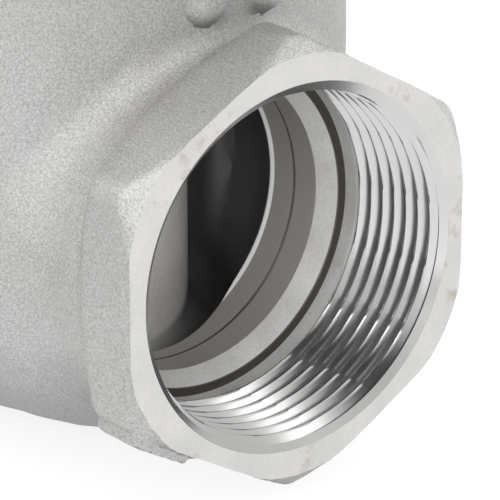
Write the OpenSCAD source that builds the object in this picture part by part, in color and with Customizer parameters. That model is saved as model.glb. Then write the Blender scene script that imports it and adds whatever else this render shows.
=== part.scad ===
// Spring-loaded inline pressure relief valve with two hexagonal threaded ports.
// X runs along the flow from the inlet mouth, Z is up along the stem, and the
// origin is the centre of the inlet mouth.

/* [Ports] */
// Distance from each port face to the stem axis
port_reach = 52; // [48:1:60]
// Width across the flats of each port hexagon
hex_af = 52.8; // [52:0.2:56]
// Length of each port hexagon
hex_len = 11; // [9:0.5:13]
// Radius of the turned circle on each port face
face_circle_r = 27.7; // [27.4:0.1:28.4]
// Minor radius of the pipe thread, 1 1/2 inch, 11 threads per inch
thread_minor_r = 22.42; // [22.42:0.01:22.5]
// Length of the pipe thread
thread_len = 16.4; // [15:0.1:17]
// Radius of the relief groove behind the thread
groove_r = 23.6; // [23:0.1:24]
// Radius of the bore behind the thread
bore_r = 20.3; // [20:0.1:20.8]
// Depth of the machined bore from the port face
bore_depth = 31.8; // [31:0.1:33]

/* [Body] */
// Radius of the upright barrel
barrel_r = 38.75; // [38:0.25:40]
// Radius of the horizontal run around the port axis
run_r = 31.4; // [31:0.1:33]
// Radius of the neck behind each hexagon
neck_r = 26.8; // [26:0.1:27.5]
// Height of the underside of the top flange
flange_z = 42; // [42:1:46]
// Thickness of the body and bonnet flanges
flange_t = 10; // [9:0.5:12]
// Radius of the flanges
flange_r = 52; // [52:0.5:54]
// Bolt circle radius
bolt_circle_r = 45; // [45:0.5:46]
// Number of bonnet bolts
bolt_count = 6; // [6:2:8]
// Thickness of the casting wall around the chamber
wall = 5.6; // [5:0.1:6]

/* [Trim] */
// Radius of the cast riser under the seat
riser_r = 17.3; // [17:0.1:17.5]
// Height of the top of the riser
riser_top = 2; // [0:0.5:4]
// Flow radius through the seat ring
seat_flow_r = 10.5; // [10:0.1:11]
// Stem radius
stem_r = 5; // [4.5:0.1:5.5]
// Full lift of the disc
disc_lift = 5; // [4:0.5:5]
// Radial running clearance of shafts in their holes
run_gap = 0.05; // [0.03:0.01:0.08]

/* [Spring and adjuster] */
// Mean coil radius of the spring
coil_r = 17.5; // [17:0.1:18]
// Wire radius of the spring
wire_r = 2.5; // [2.3:0.1:2.6]
// Number of coils from end to end
coils = 7; // [6:0.5:7]
// Length of the spring with the screw backed off
spring_len = 52; // [50:1:54]
// Adjusting screw radius, 20 mm thread of 2.5 mm pitch
screw_r = 10; // [10:0.5:10]
// Length of the tee bar
bar_len = 96; // [80:2:110]

/* [Gauge ports] */
// Radius of the gauge port bosses
boss_r = 11; // [10:0.5:12]
// Height of the gauge port axis
boss_z = 29; // [27:1:30]

/* [Hidden] */
$fn = 64;
body_len = 2 * port_reach;
flange_top = flange_z + flange_t;
gasket_t = 0.6;
bonnet_z = flange_top + gasket_t;
bonnet_flange_top = bonnet_z + flange_t;

// Port end
hex_corner_r = hex_af / 2 / cos(30);
corner_chamfer_len = 2.6;
back_chamfer_len = 1.6;
groove_len = 2.0;
shoulder_len = 3.0;
shoulder_r = 21.4;

// Chamber
chamber_r = run_r - wall;
chamber_top_r = 31;
chamber_top_z = 24;
window_r = 19.2;
window_wall_x = port_reach + 12;
window_wall_t = 3;
feed_half_w = 14;
feed_top = -8.7;
feed_low = -19;
riser_bore_r = 12;
plate_r = 34.7;
plate_t = 6;
plate_z = flange_top - plate_t;

// Seat ring
seat_thread_r = 14;
seat_thread_len = 10;
seat_flange_r = 16.8;
seat_flange_t = 6;
seat_top = riser_top + seat_flange_t;
seat_lip_h = 1;
seat_z = seat_top + seat_lip_h;
oring_wire_r = 0.9;
oring_r = 15.3;

// Disc
washer_r = 13.4;
washer_t = 3;
holder_r = 16.8;
holder_z = seat_z + 0.8;
holder_top = seat_z + 15;
hub_z = holder_top + 3 + disc_lift + 0.3;
shoulder_top = holder_top + 3;
retainer_r = 8;
retainer_t = 1;
screw_head_h = 2.6;
small_screw_r = 3;
stem_socket_z = seat_z + 8;

// Guide
hub_r = 12;
bush_r = 7.5;
bush_top = flange_top + 2;

// Spring stack
circlip_z = bush_top + 2.4;
circlip_t = 1.6;
seat_plate_t = 6;
lower_seat_z = circlip_z + circlip_t;
spring_z = lower_seat_z + seat_plate_t;
upper_seat_z = spring_z + spring_len;
upper_seat_top = upper_seat_z + seat_plate_t;
stem_top = spring_z + 20;
spring_seat_r = 21;
spigot_r = 14;
spigot_h = 4;
ball_r = 4;
ball_socket_r = 3.5;
ball_z = upper_seat_top + sqrt(pow(ball_r, 2) - pow(ball_socket_r, 2)) + 0.02;
screw_z = ball_z + sqrt(pow(ball_r, 2) - pow(ball_socket_r, 2)) + 0.02;

// Bonnet
bonnet_r = 31;
bonnet_bore_r = 25;
bonnet_bore_top = upper_seat_top + 10;
bonnet_shoulder_z = bonnet_bore_top - 7;
neck_top_r = 18;
bonnet_top = bonnet_bore_top + 22;

// Adjuster
lock_washer_t = 2.5;
lock_washer_r = 16;
nut_t = 10;
nut_af = 30;
nut_z = bonnet_top + lock_washer_t;
head_r = 12.5;
head_h = 20;
head_z = nut_z + nut_t + 14;
bar_r = 4;
bar_z = head_z + head_h / 2;
knob_r = 7;
screw_top = head_z + head_h;

// Bolts
bolt_r = 4;
bolt_head_af = 13;
bolt_head_h = 5.3;
bolt_washer_r = 7;
bolt_washer_t = 2;
bolt_end_z = flange_z + 1;

// Gauge plugs
plug_r = 6.5;
boss_face_y = barrel_r + 7;
plug_depth = 9;
plug_washer_r = 9.5;
plug_washer_t = 1.5;
plug_head_af = 17;
plug_head_h = 6;

// Places its children on the stem axis
module on_stem() {
    translate([port_reach, 0, 0]) children();
}

// Repeats its children, drawn at the inlet, at both ports
module both_ports() {
    for (turn = [0, 180])
        on_stem() rotate([0, 0, turn]) translate([-port_reach, 0, 0]) children();
}

// Lays an upright shape, drawn along +Z from zero, along +X from the port face
module along_x() {
    rotate([0, 90, 0]) children();
}

// Repeats its children around the bolt circle
module bolt_places() {
    for (i = [0 : bolt_count - 1])
        on_stem() rotate([0, 0, (i + 0.5) * 360 / bolt_count])
            translate([bolt_circle_r, 0, 0]) children();
}

// Ring or disc between two heights on the stem axis
module ring(outer_r, inner_r, z0, z1) {
    on_stem() translate([0, 0, z0]) difference() {
        cylinder(r = outer_r, h = z1 - z0);
        if (inner_r > 0)
            translate([0, 0, -1]) cylinder(r = inner_r, h = z1 - z0 + 2);
    }
}

// Hexagon of a port end, with corners up and down and coned at both ends
module port_hexagon() {
    along_x() intersection() {
        cylinder(r = hex_corner_r, h = hex_len, $fn = 6);
        rotate_extrude() polygon([
            [0, 0],
            [face_circle_r, 0],
            [hex_corner_r, corner_chamfer_len],
            [hex_corner_r, hex_len - back_chamfer_len],
            [neck_r + 0.6, hex_len],
            [0, hex_len]
        ]);
    }
}

// Turned bore of a port: thread at its minor radius, groove, shoulder and bore
module port_bore() {
    groove_end = thread_len + groove_len;
    along_x() rotate_extrude() polygon([
        [0, -1],
        [thread_minor_r, -1],
        [thread_minor_r, thread_len],
        [groove_r, thread_len],
        [groove_r, groove_end],
        [shoulder_r, groove_end],
        [bore_r, groove_end + shoulder_len],
        [bore_r, bore_depth + 1],
        [0, bore_depth + 1]
    ]);
}

// Solid of revolution around the port axis, rounded at both ends
module run_barrel() {
    end_x = hex_len + 1.5;
    round_r = 7;
    translate([end_x, 0, 0]) along_x() rotate_extrude() union() {
        square([run_r - round_r, body_len - 2 * end_x]);
        translate([0, round_r]) square([run_r, body_len - 2 * (end_x + round_r)]);
        translate([run_r - round_r, round_r]) circle(r = round_r);
        translate([run_r - round_r, body_len - 2 * end_x - round_r]) circle(r = round_r);
    }
}

// Upright barrel with a rounded bottom
module upright_barrel() {
    bottom_z = -run_r;
    round_r = 24;
    on_stem() rotate_extrude() union() {
        translate([0, bottom_z]) square([barrel_r - round_r, flange_z - bottom_z]);
        translate([0, bottom_z + round_r]) square([barrel_r, flange_z - bottom_z - round_r]);
        intersection() {
            translate([barrel_r - round_r, bottom_z + round_r]) circle(r = round_r);
            translate([0, bottom_z]) square([barrel_r, round_r]);
        }
    }
}

// Pair of short ribs under the flange, over each port
module port_ribs() {
    rib_r = 2.3;
    rib_low = 31;
    for (y = [-3.9, 3.9]) {
        translate([port_reach - barrel_r - 0.2, y, rib_low])
            cylinder(r = rib_r, h = flange_z - rib_low);
        translate([port_reach - barrel_r - 0.2, y, rib_low]) sphere(r = rib_r);
    }
}

// Blank raised pad on the lower flat of a port hexagon
module port_pad() {
    pad_len = hex_len - 3;
    pad_w = 9;
    pad_h = 1;
    rotate([30, 0, 0]) translate([1.6, 4, -hex_af / 2 - pad_h])
        cube([pad_len, pad_w, pad_h + 2]);
}

// Gauge port boss on one side
module gauge_boss(side) {
    on_stem() translate([0, 0, boss_z]) rotate([-90 * side, 0, 0])
        cylinder(r = boss_r, h = boss_face_y);
}

// Flow passages left open inside the casting
module chamber() {
    lower_z = -chamber_r + 3;
    difference() {
        union() {
            // Outlet chamber around the riser
            translate([window_wall_x + window_wall_t, 0, 0]) along_x()
                cylinder(r = chamber_r, h = body_len - bore_depth - window_wall_x - window_wall_t);
            translate([port_reach, 0, 0]) along_x() cylinder(r = window_r, h = 16);
            on_stem() translate([0, 0, lower_z])
                cylinder(r = chamber_r - 3, h = chamber_top_z - lower_z);
            on_stem() translate([0, 0, chamber_top_z])
                cylinder(r = chamber_top_r, h = flange_top - chamber_top_z + 1);
        }
        // Riser and the wall around the feed
        on_stem() translate([0, 0, -chamber_r]) cylinder(r = riser_r, h = chamber_r + riser_top);
        translate([0, -riser_r, -chamber_r])
            cube([port_reach, 2 * riser_r, chamber_r + riser_top - 0.2]);
        translate([0, -chamber_r, -chamber_r])
            cube([bore_depth + 2.5, 2 * chamber_r, 2 * chamber_r]);
    }
    // Feed from the inlet bore into the riser, and the tapped throat for the seat ring
    intersection() {
        translate([bore_depth - 0.5, 0, 0]) along_x()
            cylinder(r = bore_r, h = port_reach - bore_depth);
        translate([0, -feed_half_w, -bore_r]) cube([port_reach, 2 * feed_half_w, bore_r + feed_top]);
    }
    on_stem() translate([0, 0, feed_low]) cylinder(r = riser_bore_r, h = feed_top - feed_low + 1);
    on_stem() translate([0, 0, riser_top - seat_thread_len])
        cylinder(r = seat_thread_r, h = seat_thread_len + 1);
}

module body() {
    color("lightgray") difference() {
        union() {
            both_ports() port_hexagon();
            both_ports() along_x() translate([0, 0, hex_len - 0.5])
                cylinder(r = neck_r, h = port_reach - hex_len);
            both_ports() port_ribs();
            both_ports() port_pad();
            run_barrel();
            upright_barrel();
            gauge_boss(1);
            gauge_boss(-1);
            ring(flange_r, 0, flange_z, flange_top);
        }
        both_ports() port_bore();
        chamber();
        ring(plate_r + run_gap, 0, plate_z, flange_top + 1);
        bolt_places() translate([0, 0, bolt_end_z - 2]) cylinder(r = bolt_r, h = flange_t + 4);
        for (side = [-1, 1])
            on_stem() translate([0, side * (boss_face_y + 1), boss_z]) rotate([90 * side, 0, 0])
                cylinder(r = plug_r, h = plug_depth + 3);
    }
}

module seat_ring() {
    color("silver") on_stem() difference() {
        union() {
            translate([0, 0, riser_top - seat_thread_len + 1])
                cylinder(r = seat_thread_r, h = seat_thread_len);
            translate([0, 0, riser_top]) cylinder(r = seat_flange_r, h = seat_flange_t);
            translate([0, 0, seat_top - 1]) cylinder(r = seat_flow_r + 2, h = seat_lip_h + 1);
        }
        translate([0, 0, riser_top - seat_thread_len]) cylinder(r = seat_flow_r, h = 30);
        rotate_extrude() translate([oring_r - 0.9, riser_top - 1])
            square([1.8, 1 + 2 * oring_wire_r]);
    }
}

module seat_ring_seal() {
    color("black") on_stem() translate([0, 0, riser_top + oring_wire_r])
        rotate_extrude() translate([oring_r, 0]) circle(r = oring_wire_r);
}

module disc_holder() {
    color("silver") on_stem() difference() {
        union() {
            translate([0, 0, holder_z]) cylinder(r = holder_r, h = holder_top - holder_z);
            translate([0, 0, holder_top - 1]) cylinder(r = 9, h = shoulder_top - holder_top + 1);
        }
        translate([0, 0, holder_z - 1]) cylinder(r = washer_r, h = seat_z + washer_t - holder_z + 1);
        translate([0, 0, seat_z]) cylinder(r = small_screw_r, h = 7);
        translate([0, 0, stem_socket_z]) cylinder(r = stem_r, h = 30);
    }
}

module seat_washer() {
    color("ivory") ring(washer_r, small_screw_r, seat_z, seat_z + washer_t);
}

module washer_retainer() {
    color("silver") ring(retainer_r, small_screw_r, seat_z - retainer_t, seat_z);
}

module retainer_screw() {
    head_top = seat_z - retainer_t;
    color("silver") on_stem() difference() {
        union() {
            translate([0, 0, head_top - screw_head_h]) cylinder(r = 5, h = screw_head_h);
            translate([0, 0, head_top - 0.5]) cylinder(r = small_screw_r, h = 6.5);
        }
        translate([0, 0, head_top - screw_head_h - 1]) cylinder(r = 2.3, h = 2.8, $fn = 6);
    }
}

module stem() {
    color("silver") on_stem() difference() {
        translate([0, 0, stem_socket_z]) cylinder(r = stem_r, h = stem_top - stem_socket_z);
        translate([0, 0, circlip_z]) difference() {
            cylinder(r = stem_r + 1, h = circlip_t);
            translate([0, 0, -1]) cylinder(r = stem_r - 0.8, h = circlip_t + 2);
        }
    }
}

module stem_circlip() {
    color("dimgray") on_stem() translate([0, 0, circlip_z]) difference() {
        cylinder(r = stem_r + 2.6, h = circlip_t);
        translate([0, 0, -1]) cylinder(r = stem_r - 0.8, h = circlip_t + 2);
        translate([stem_r - 1.5, -2, -1]) cube([6, 4, circlip_t + 2]);
    }
}

module guide_plate() {
    port_count = 6;
    color("gainsboro") on_stem() difference() {
        union() {
            translate([0, 0, plate_z]) cylinder(r = plate_r, h = plate_t);
            translate([0, 0, hub_z]) cylinder(r = hub_r, h = plate_z - hub_z + 1);
        }
        translate([0, 0, hub_z - 1]) cylinder(r = bush_r, h = 30);
        for (i = [0 : port_count - 1])
            rotate([0, 0, i * 360 / port_count]) translate([22, 0, plate_z - 1])
                cylinder(r = 2, h = plate_t + 2);
    }
}

module guide_bush() {
    color("tan") on_stem() difference() {
        union() {
            translate([0, 0, hub_z]) cylinder(r = bush_r, h = bush_top - hub_z);
            translate([0, 0, flange_top]) cylinder(r = bush_r + 2, h = bush_top - flange_top);
        }
        translate([0, 0, hub_z - 1]) cylinder(r = stem_r + run_gap, h = 40);
    }
}

module body_gasket() {
    color("dimgray") ring(bolt_circle_r - bolt_r - 0.6, plate_r + 0.8, flange_top, bonnet_z);
}

module bonnet() {
    round_r = 12;
    color("lightgray") difference() {
        union() {
            ring(flange_r, 0, bonnet_z, bonnet_flange_top);
            on_stem() rotate_extrude() union() {
                translate([0, bonnet_z + 1]) square([bonnet_r, bonnet_shoulder_z - bonnet_z]);
                translate([0, bonnet_shoulder_z]) square([bonnet_r - round_r, round_r + 1]);
                translate([bonnet_r - round_r, bonnet_shoulder_z + 1]) circle(r = round_r);
                translate([0, bonnet_shoulder_z]) square([neck_top_r, bonnet_top - bonnet_shoulder_z]);
            }
            on_stem() translate([0, 0, bonnet_flange_top - 1]) cylinder(r1 = 36, r2 = bonnet_r, h = 6);
        }
        on_stem() translate([0, 0, bonnet_z - 1])
            cylinder(r = bonnet_bore_r, h = bonnet_bore_top - bonnet_z + 1);
        on_stem() cylinder(r = screw_r + run_gap, h = bonnet_top + 1);
        bolt_places() translate([0, 0, bonnet_z - 1]) cylinder(r = bolt_r + 0.4, h = flange_t + 2);
    }
}

module bonnet_bolts() {
    head_base = bonnet_flange_top + bolt_washer_t;
    color("silver") bolt_places() {
        translate([0, 0, bolt_end_z]) cylinder(r = bolt_r, h = head_base - bolt_end_z + 0.5);
        translate([0, 0, head_base]) cylinder(d = bolt_head_af / cos(30), h = bolt_head_h, $fn = 6);
    }
}

module bolt_washers() {
    color("gray") bolt_places() translate([0, 0, bonnet_flange_top]) difference() {
        cylinder(r = bolt_washer_r, h = bolt_washer_t);
        translate([0, 0, -1]) cylinder(r = bolt_r + 0.1, h = bolt_washer_t + 2);
    }
}

module lower_spring_seat() {
    color("gainsboro") on_stem() difference() {
        union() {
            translate([0, 0, lower_seat_z]) cylinder(r = spring_seat_r, h = seat_plate_t);
            translate([0, 0, spring_z - 1]) cylinder(r = spigot_r, h = spigot_h + 1);
        }
        translate([0, 0, lower_seat_z - 1]) cylinder(r = stem_r + run_gap, h = 30);
    }
}

// One point on the wire's surface: t runs along the coil from 0 to 1, a around the wire
function coil_point(t, a) =
    let (turn = 360 * coils * t,
         ramp = min(1, max(0, (t * coils - 0.75) / (coils - 1.5))),
         pitch_z = 2 * wire_r * 0.75,
         rise = wire_r + pitch_z * min(t * coils, 0.75) / 0.75
              + (spring_len - 2 * wire_r - 2 * pitch_z) * ramp
              + pitch_z * max(0, t * coils - coils + 0.75) / 0.75,
         r = coil_r + wire_r * cos(a))
    [r * cos(turn), r * sin(turn), rise + wire_r * sin(a)];

module spring() {
    sides = 10;
    steps = coils * 22;
    ring_points = [for (i = [0 : steps]) for (j = [0 : sides - 1])
        coil_point(i / steps, 360 * j / sides)];
    skin = [for (i = [0 : steps - 1]) for (j = [0 : sides - 1])
        [i * sides + j, i * sides + (j + 1) % sides,
         (i + 1) * sides + (j + 1) % sides, (i + 1) * sides + j]];
    start_cap = [[for (j = [sides - 1 : -1 : 0]) j]];
    end_cap = [[for (j = [0 : sides - 1]) steps * sides + j]];
    color("slategray") on_stem() translate([0, 0, spring_z])
        polyhedron(points = ring_points, faces = concat(skin, start_cap, end_cap));
}

module upper_spring_seat() {
    color("gainsboro") on_stem() difference() {
        union() {
            translate([0, 0, upper_seat_z]) cylinder(r = spring_seat_r, h = seat_plate_t);
            translate([0, 0, upper_seat_z - spigot_h]) cylinder(r = spigot_r, h = spigot_h + 1);
        }
        translate([0, 0, upper_seat_top - 3]) cylinder(r = ball_socket_r, h = 4);
    }
}

module thrust_ball() {
    color("silver") on_stem() translate([0, 0, ball_z]) sphere(r = ball_r);
}

module adjusting_screw() {
    color("silver") on_stem() difference() {
        union() {
            translate([0, 0, screw_z]) cylinder(r = screw_r, h = head_z - screw_z + 1);
            translate([0, 0, head_z]) cylinder(r = head_r, h = head_h);
        }
        translate([0, 0, screw_z - 1]) cylinder(r = ball_socket_r, h = 4);
        translate([0, head_r + 1, bar_z]) rotate([90, 0, 0]) cylinder(r = bar_r, h = 2 * head_r + 2);
    }
}

module lock_washer() {
    color("gray") ring(lock_washer_r, screw_r + run_gap, bonnet_top, nut_z);
}

module lock_nut() {
    color("silver") on_stem() translate([0, 0, nut_z]) difference() {
        cylinder(d = nut_af / cos(30), h = nut_t, $fn = 6);
        translate([0, 0, -1]) cylinder(r = screw_r + run_gap, h = nut_t + 2);
    }
}

module tee_bar() {
    color("silver") on_stem() translate([0, bar_len / 2, bar_z]) rotate([90, 0, 0])
        cylinder(r = bar_r, h = bar_len);
}

// Round knob with a blind hole over one end of the bar
module bar_knob(side) {
    hole_end = 2;
    color("silver") on_stem() translate([0, side * (bar_len / 2 - hole_end), bar_z])
        rotate([-90 * side, 0, 0]) rotate_extrude() difference() {
            intersection() {
                circle(r = knob_r);
                translate([0, -knob_r]) square([knob_r, 2 * knob_r]);
            }
            translate([0, -knob_r - 1]) square([bar_r, knob_r + 1 + hole_end]);
        }
}

module bar_knob_left() {
    bar_knob(-1);
}

module bar_knob_right() {
    bar_knob(1);
}

// Hexagon-headed plug screwed into a gauge port
module gauge_plug(side) {
    color("silver") on_stem() translate([0, side * boss_face_y, boss_z]) rotate([-90 * side, 0, 0]) {
        translate([0, 0, -plug_depth]) cylinder(r = plug_r, h = plug_depth + plug_washer_t + 0.5);
        translate([0, 0, plug_washer_t])
            cylinder(d = plug_head_af / cos(30), h = plug_head_h, $fn = 6);
    }
}

module gauge_plug_left() {
    gauge_plug(-1);
}

module gauge_plug_right() {
    gauge_plug(1);
}

// Sealing washer under a gauge plug
module gauge_washer(side) {
    color("darkgray") on_stem() translate([0, side * boss_face_y, boss_z])
        rotate([-90 * side, 0, 0]) difference() {
            cylinder(r = plug_washer_r, h = plug_washer_t);
            translate([0, 0, -1]) cylinder(r = plug_r + 0.1, h = plug_washer_t + 2);
        }
}

module gauge_washer_left() {
    gauge_washer(-1);
}

module gauge_washer_right() {
    gauge_washer(1);
}

body();
seat_ring();
seat_ring_seal();
disc_holder();
seat_washer();
washer_retainer();
retainer_screw();
stem();
stem_circlip();
guide_plate();
guide_bush();
body_gasket();
bonnet();
bonnet_bolts();
bolt_washers();
lower_spring_seat();
spring();
upper_spring_seat();
thrust_ball();
adjusting_screw();
lock_washer();
lock_nut();
tee_bar();
bar_knob_left();
bar_knob_right();
gauge_plug_left();
gauge_plug_right();
gauge_washer_left();
gauge_washer_right();
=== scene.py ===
import math
import bmesh
import bpy
import numpy as np
import openvdb
from mathutils import Matrix, Vector


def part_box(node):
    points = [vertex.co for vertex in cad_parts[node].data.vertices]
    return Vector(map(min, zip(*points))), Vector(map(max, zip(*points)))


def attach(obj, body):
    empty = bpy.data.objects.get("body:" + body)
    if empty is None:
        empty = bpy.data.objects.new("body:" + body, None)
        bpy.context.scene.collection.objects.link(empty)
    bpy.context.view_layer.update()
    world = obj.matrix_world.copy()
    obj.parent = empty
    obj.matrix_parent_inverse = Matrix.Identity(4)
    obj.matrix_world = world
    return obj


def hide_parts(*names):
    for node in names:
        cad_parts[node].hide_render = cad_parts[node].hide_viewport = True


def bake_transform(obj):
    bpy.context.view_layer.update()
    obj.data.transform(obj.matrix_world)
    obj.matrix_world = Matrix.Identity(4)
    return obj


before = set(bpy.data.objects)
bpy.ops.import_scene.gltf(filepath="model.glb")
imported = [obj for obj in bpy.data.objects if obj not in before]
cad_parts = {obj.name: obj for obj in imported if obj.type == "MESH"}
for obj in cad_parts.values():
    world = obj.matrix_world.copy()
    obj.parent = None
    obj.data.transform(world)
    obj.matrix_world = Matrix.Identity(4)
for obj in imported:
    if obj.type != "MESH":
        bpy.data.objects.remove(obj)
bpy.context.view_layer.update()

# ---------------------------------------------------------------------------------------------
# Sizes, in millimetres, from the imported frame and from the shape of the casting
# ---------------------------------------------------------------------------------------------
MM = 0.001


def box_mm(node):
    low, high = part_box(node)
    return [v / MM for v in low], [v / MM for v in high]


BODY_HIGH = box_mm("body")[1]
REACH = BODY_HIGH[0] / 2
FLANGE_TOP = BODY_HIGH[2]
FLANGE_T = 10.0
FLANGE_R = 52.0
FLANGE_LOW = FLANGE_TOP - FLANGE_T
FLANGE_EDGE_R = 1.2
FLANGE_SPARE = 6.0
MACHINED_OFF = 2.0
FILLET = 4.0

# Hexagon and neck of a port
HEX_HALF = 26.4
HEX_LEN = 11.0
HEX_EDGE_R = 3.0
HEX_FILLET = 0.6
COS_30 = 0.8660254
SIN_30 = 0.5
TAN_30 = 0.5773503
FACE_R = 27.7
FACE_SLOPE = 1.1
NECK_R = 25.7
NECK_START = 6.0
NECK_SLOPE = 1.6

# Barrel about the stem, run between the ports, ribs and pads
BARREL_R = 38.6
BARREL_EDGE_R = 34.0
BARREL_TOP = 200.0
RUN_R = 31.7
RUN_FROM_FACE = 16.0
RUN_EDGE_R = 20.0
RUN_FILLET = 2.5
RIB_R = 3.2
RIB_Y = 4.6
RIB_SINK = 0.7
RIB_FOOT = 32.3
RIB_FILLET = 0.45
PAD_H = 1.4
PAD_ROOT = 6.0
PAD_ASIDE = 8.5
PAD_HALF_W = 4.6
PAD_DEPTH = 5.4
PAD_HALF_LEN = 4.0
PAD_FILLET = 1.0

# Gauge bosses, plugs, bolts and guide plate
WASHER_LOW, WASHER_HIGH = box_mm("gauge_washer_right")
BOSS_FACE = WASHER_LOW[1]
BOSS_Z = (WASHER_LOW[2] + WASHER_HIGH[2]) / 2
BOSS_R = 11.0
BOSS_ROOT = 10.0
BOSS_EDGE_R = 0.8
SPOT_FACE_R = 14.0
PLUG_R = 6.5
PLUG_HOLE = 12.0
PLUG_CHAMFER = 0.6
PLATE_R = 34.75
PLATE_T = 6.0
BOLT_R = 4.0
BOLT_CIRCLE_R = 45.0
BOLT_COUNT = 6
BOLT_TWIST = 2.3
FIT = 0.05
THREAD_SLACK = 0.02

# Unevenness of a cast skin, as two waves and their heights
LONG_WAVE = 9.0
LONG_WAVE_H = 0.05
SHORT_WAVE = 4.3
SHORT_WAVE_H = 0.03

# Port, by depth from its face
MOUTH_R = 24.1
MOUTH_LEN = 0.8
MOUTH_SLOPE = 1.1
THREAD_MINOR_R = 22.42
THREAD_MAJOR_R = 23.9
THREAD_PITCH = 25.4 / 11
THREAD_END = 16.4
GROOVE_R = 22.95
GROOVE_END = 19.1
SHOULDER_R = 21.75
SHOULDER_LEN = 2.8
BORE_R = 20.2
CREVICE_START = 26.3
CREVICE_MIDDLE = 26.6
CREVICE_END = 26.9
CREVICE_D = 0.45
BAND_R = BORE_R + 0.2
RIM_R = BORE_R - 0.1
RIM_LEN = 0.5
BORE_DEPTH = 31.8
PORT_TOOL_R = 70.0
PORT_TOOL_BACK = 6.0

# Chamber
CHAMBER_R = 25.8
SHAFT_R = 23.0
SHAFT_TOP = 60.0
SHAFT_FILLET = 3.0
UPPER_R = 31.0
UPPER_LOW = 24.0
UPPER_TOP = 90.0
RISER_R = 17.3
RISER_TOP = 2.0
RISER_FOOT = -60.0
RISER_FILLET = 5.0
WINDOW_R = 19.2
WINDOW_DEPTH = 40.0
WINDOW_FILLET = 2.5
LIP_T = 2.8
LIP_END = 90.0
GAP_BEHIND_LIP = 7.0
INLET_WALL = 2.5
FEED_HALF_W = 14.0
FEED_TOP = -8.7
FEED_FILLET = 2.0
FEED_R = 12.0
FEED_LOW = -19.0
THROAT_R = 14.0


# ---------------------------------------------------------------------------------------------
# Distance fields
# ---------------------------------------------------------------------------------------------
def blend_union(a, b, k):
    h = np.clip(0.5 + 0.5 * (b - a) / k, 0, 1)
    return b + (a - b) * h - k * h * (1 - h)


def blend_common(a, b, k):
    return -blend_union(-a, -b, k)


def blend_cut(a, b, k):
    return blend_common(a, -b, k)


def round_slab(radial, along, radius, low, high, edge):
    """A solid cylinder between two heights, with rounded edges."""
    dr = radial - (radius - edge)
    dh = np.maximum(low + edge - along, along - (high - edge))
    outside = np.hypot(np.maximum(dr, 0), np.maximum(dh, 0))
    return np.minimum(np.maximum(dr, dh), 0) + outside - edge


def round_hexagon(y, z, half, edge):
    """A hexagon with flats at +Y and -Y and rounded corners."""
    px, py = np.abs(z), np.abs(y)
    inner = half - edge
    fold = 2 * np.minimum(-COS_30 * px + SIN_30 * py, 0)
    px = px - fold * -COS_30
    py = py - fold * SIN_30
    px = px - np.clip(px, -TAN_30 * inner, TAN_30 * inner)
    py = py - inner
    return np.hypot(px, py) * np.sign(py) - edge


def capsule(x, y, z, foot, top, radius):
    """An upright capsule whose axis runs from foot to a height."""
    dz = z - np.clip(z, foot[2], top)
    return np.sqrt((x - foot[0]) ** 2 + (y - foot[1]) ** 2 + dz ** 2) - radius


def ripple(x, y, z, size):
    """Smooth unevenness of a cast skin, between about -1 and 1."""
    k = 2 * math.pi / size
    waves = np.sin(k * (x + 0.31 * y) + 1.7 * np.sin(k * 0.53 * z))
    waves = waves * np.sin(k * (0.83 * y - 0.42 * z) + 1.3 * np.sin(k * 0.61 * x))
    return waves + 0.4 * np.sin(k * 1.9 * (z + 0.7 * x)) * np.sin(k * 2.1 * (y - 0.4 * x))


def roughened(skin, x, y, z):
    """Adds the unevenness of a casting to its skin."""
    long_waves = LONG_WAVE_H * ripple(x, y, z, LONG_WAVE)
    return skin + long_waves + SHORT_WAVE_H * ripple(y, z, x, SHORT_WAVE)


def port_end(depth, y, z):
    """Hexagon of a port, coned in front and behind its corners. The scales keep it near a distance."""
    front_scale = 0.67
    back_scale = 0.53
    radial = np.hypot(y, z)
    shape = round_hexagon(y, z, HEX_HALF, HEX_EDGE_R)
    front = (radial - FACE_R - depth * FACE_SLOPE) * front_scale
    back = (radial - NECK_R - 0.2 - (HEX_LEN - depth) * NECK_SLOPE) * back_scale
    shape = blend_common(shape, front, k=0.5)
    shape = blend_common(shape, back, k=0.9)
    return np.maximum(shape, depth - HEX_LEN - 1)


def port_pad(x, y, z, depth):
    """Raised pad on the slanting flat under each hexagon."""
    facing = y * np.sign(x - REACH)
    outward_by = -SIN_30 * facing - COS_30 * z - HEX_HALF - PAD_H
    aside = np.abs(-COS_30 * facing + SIN_30 * z - PAD_ASIDE) - PAD_HALF_W
    along = np.abs(depth - PAD_DEPTH) - PAD_HALF_LEN
    return np.maximum(np.maximum(outward_by, aside), np.maximum(along, -outward_by - PAD_ROOT))


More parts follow.
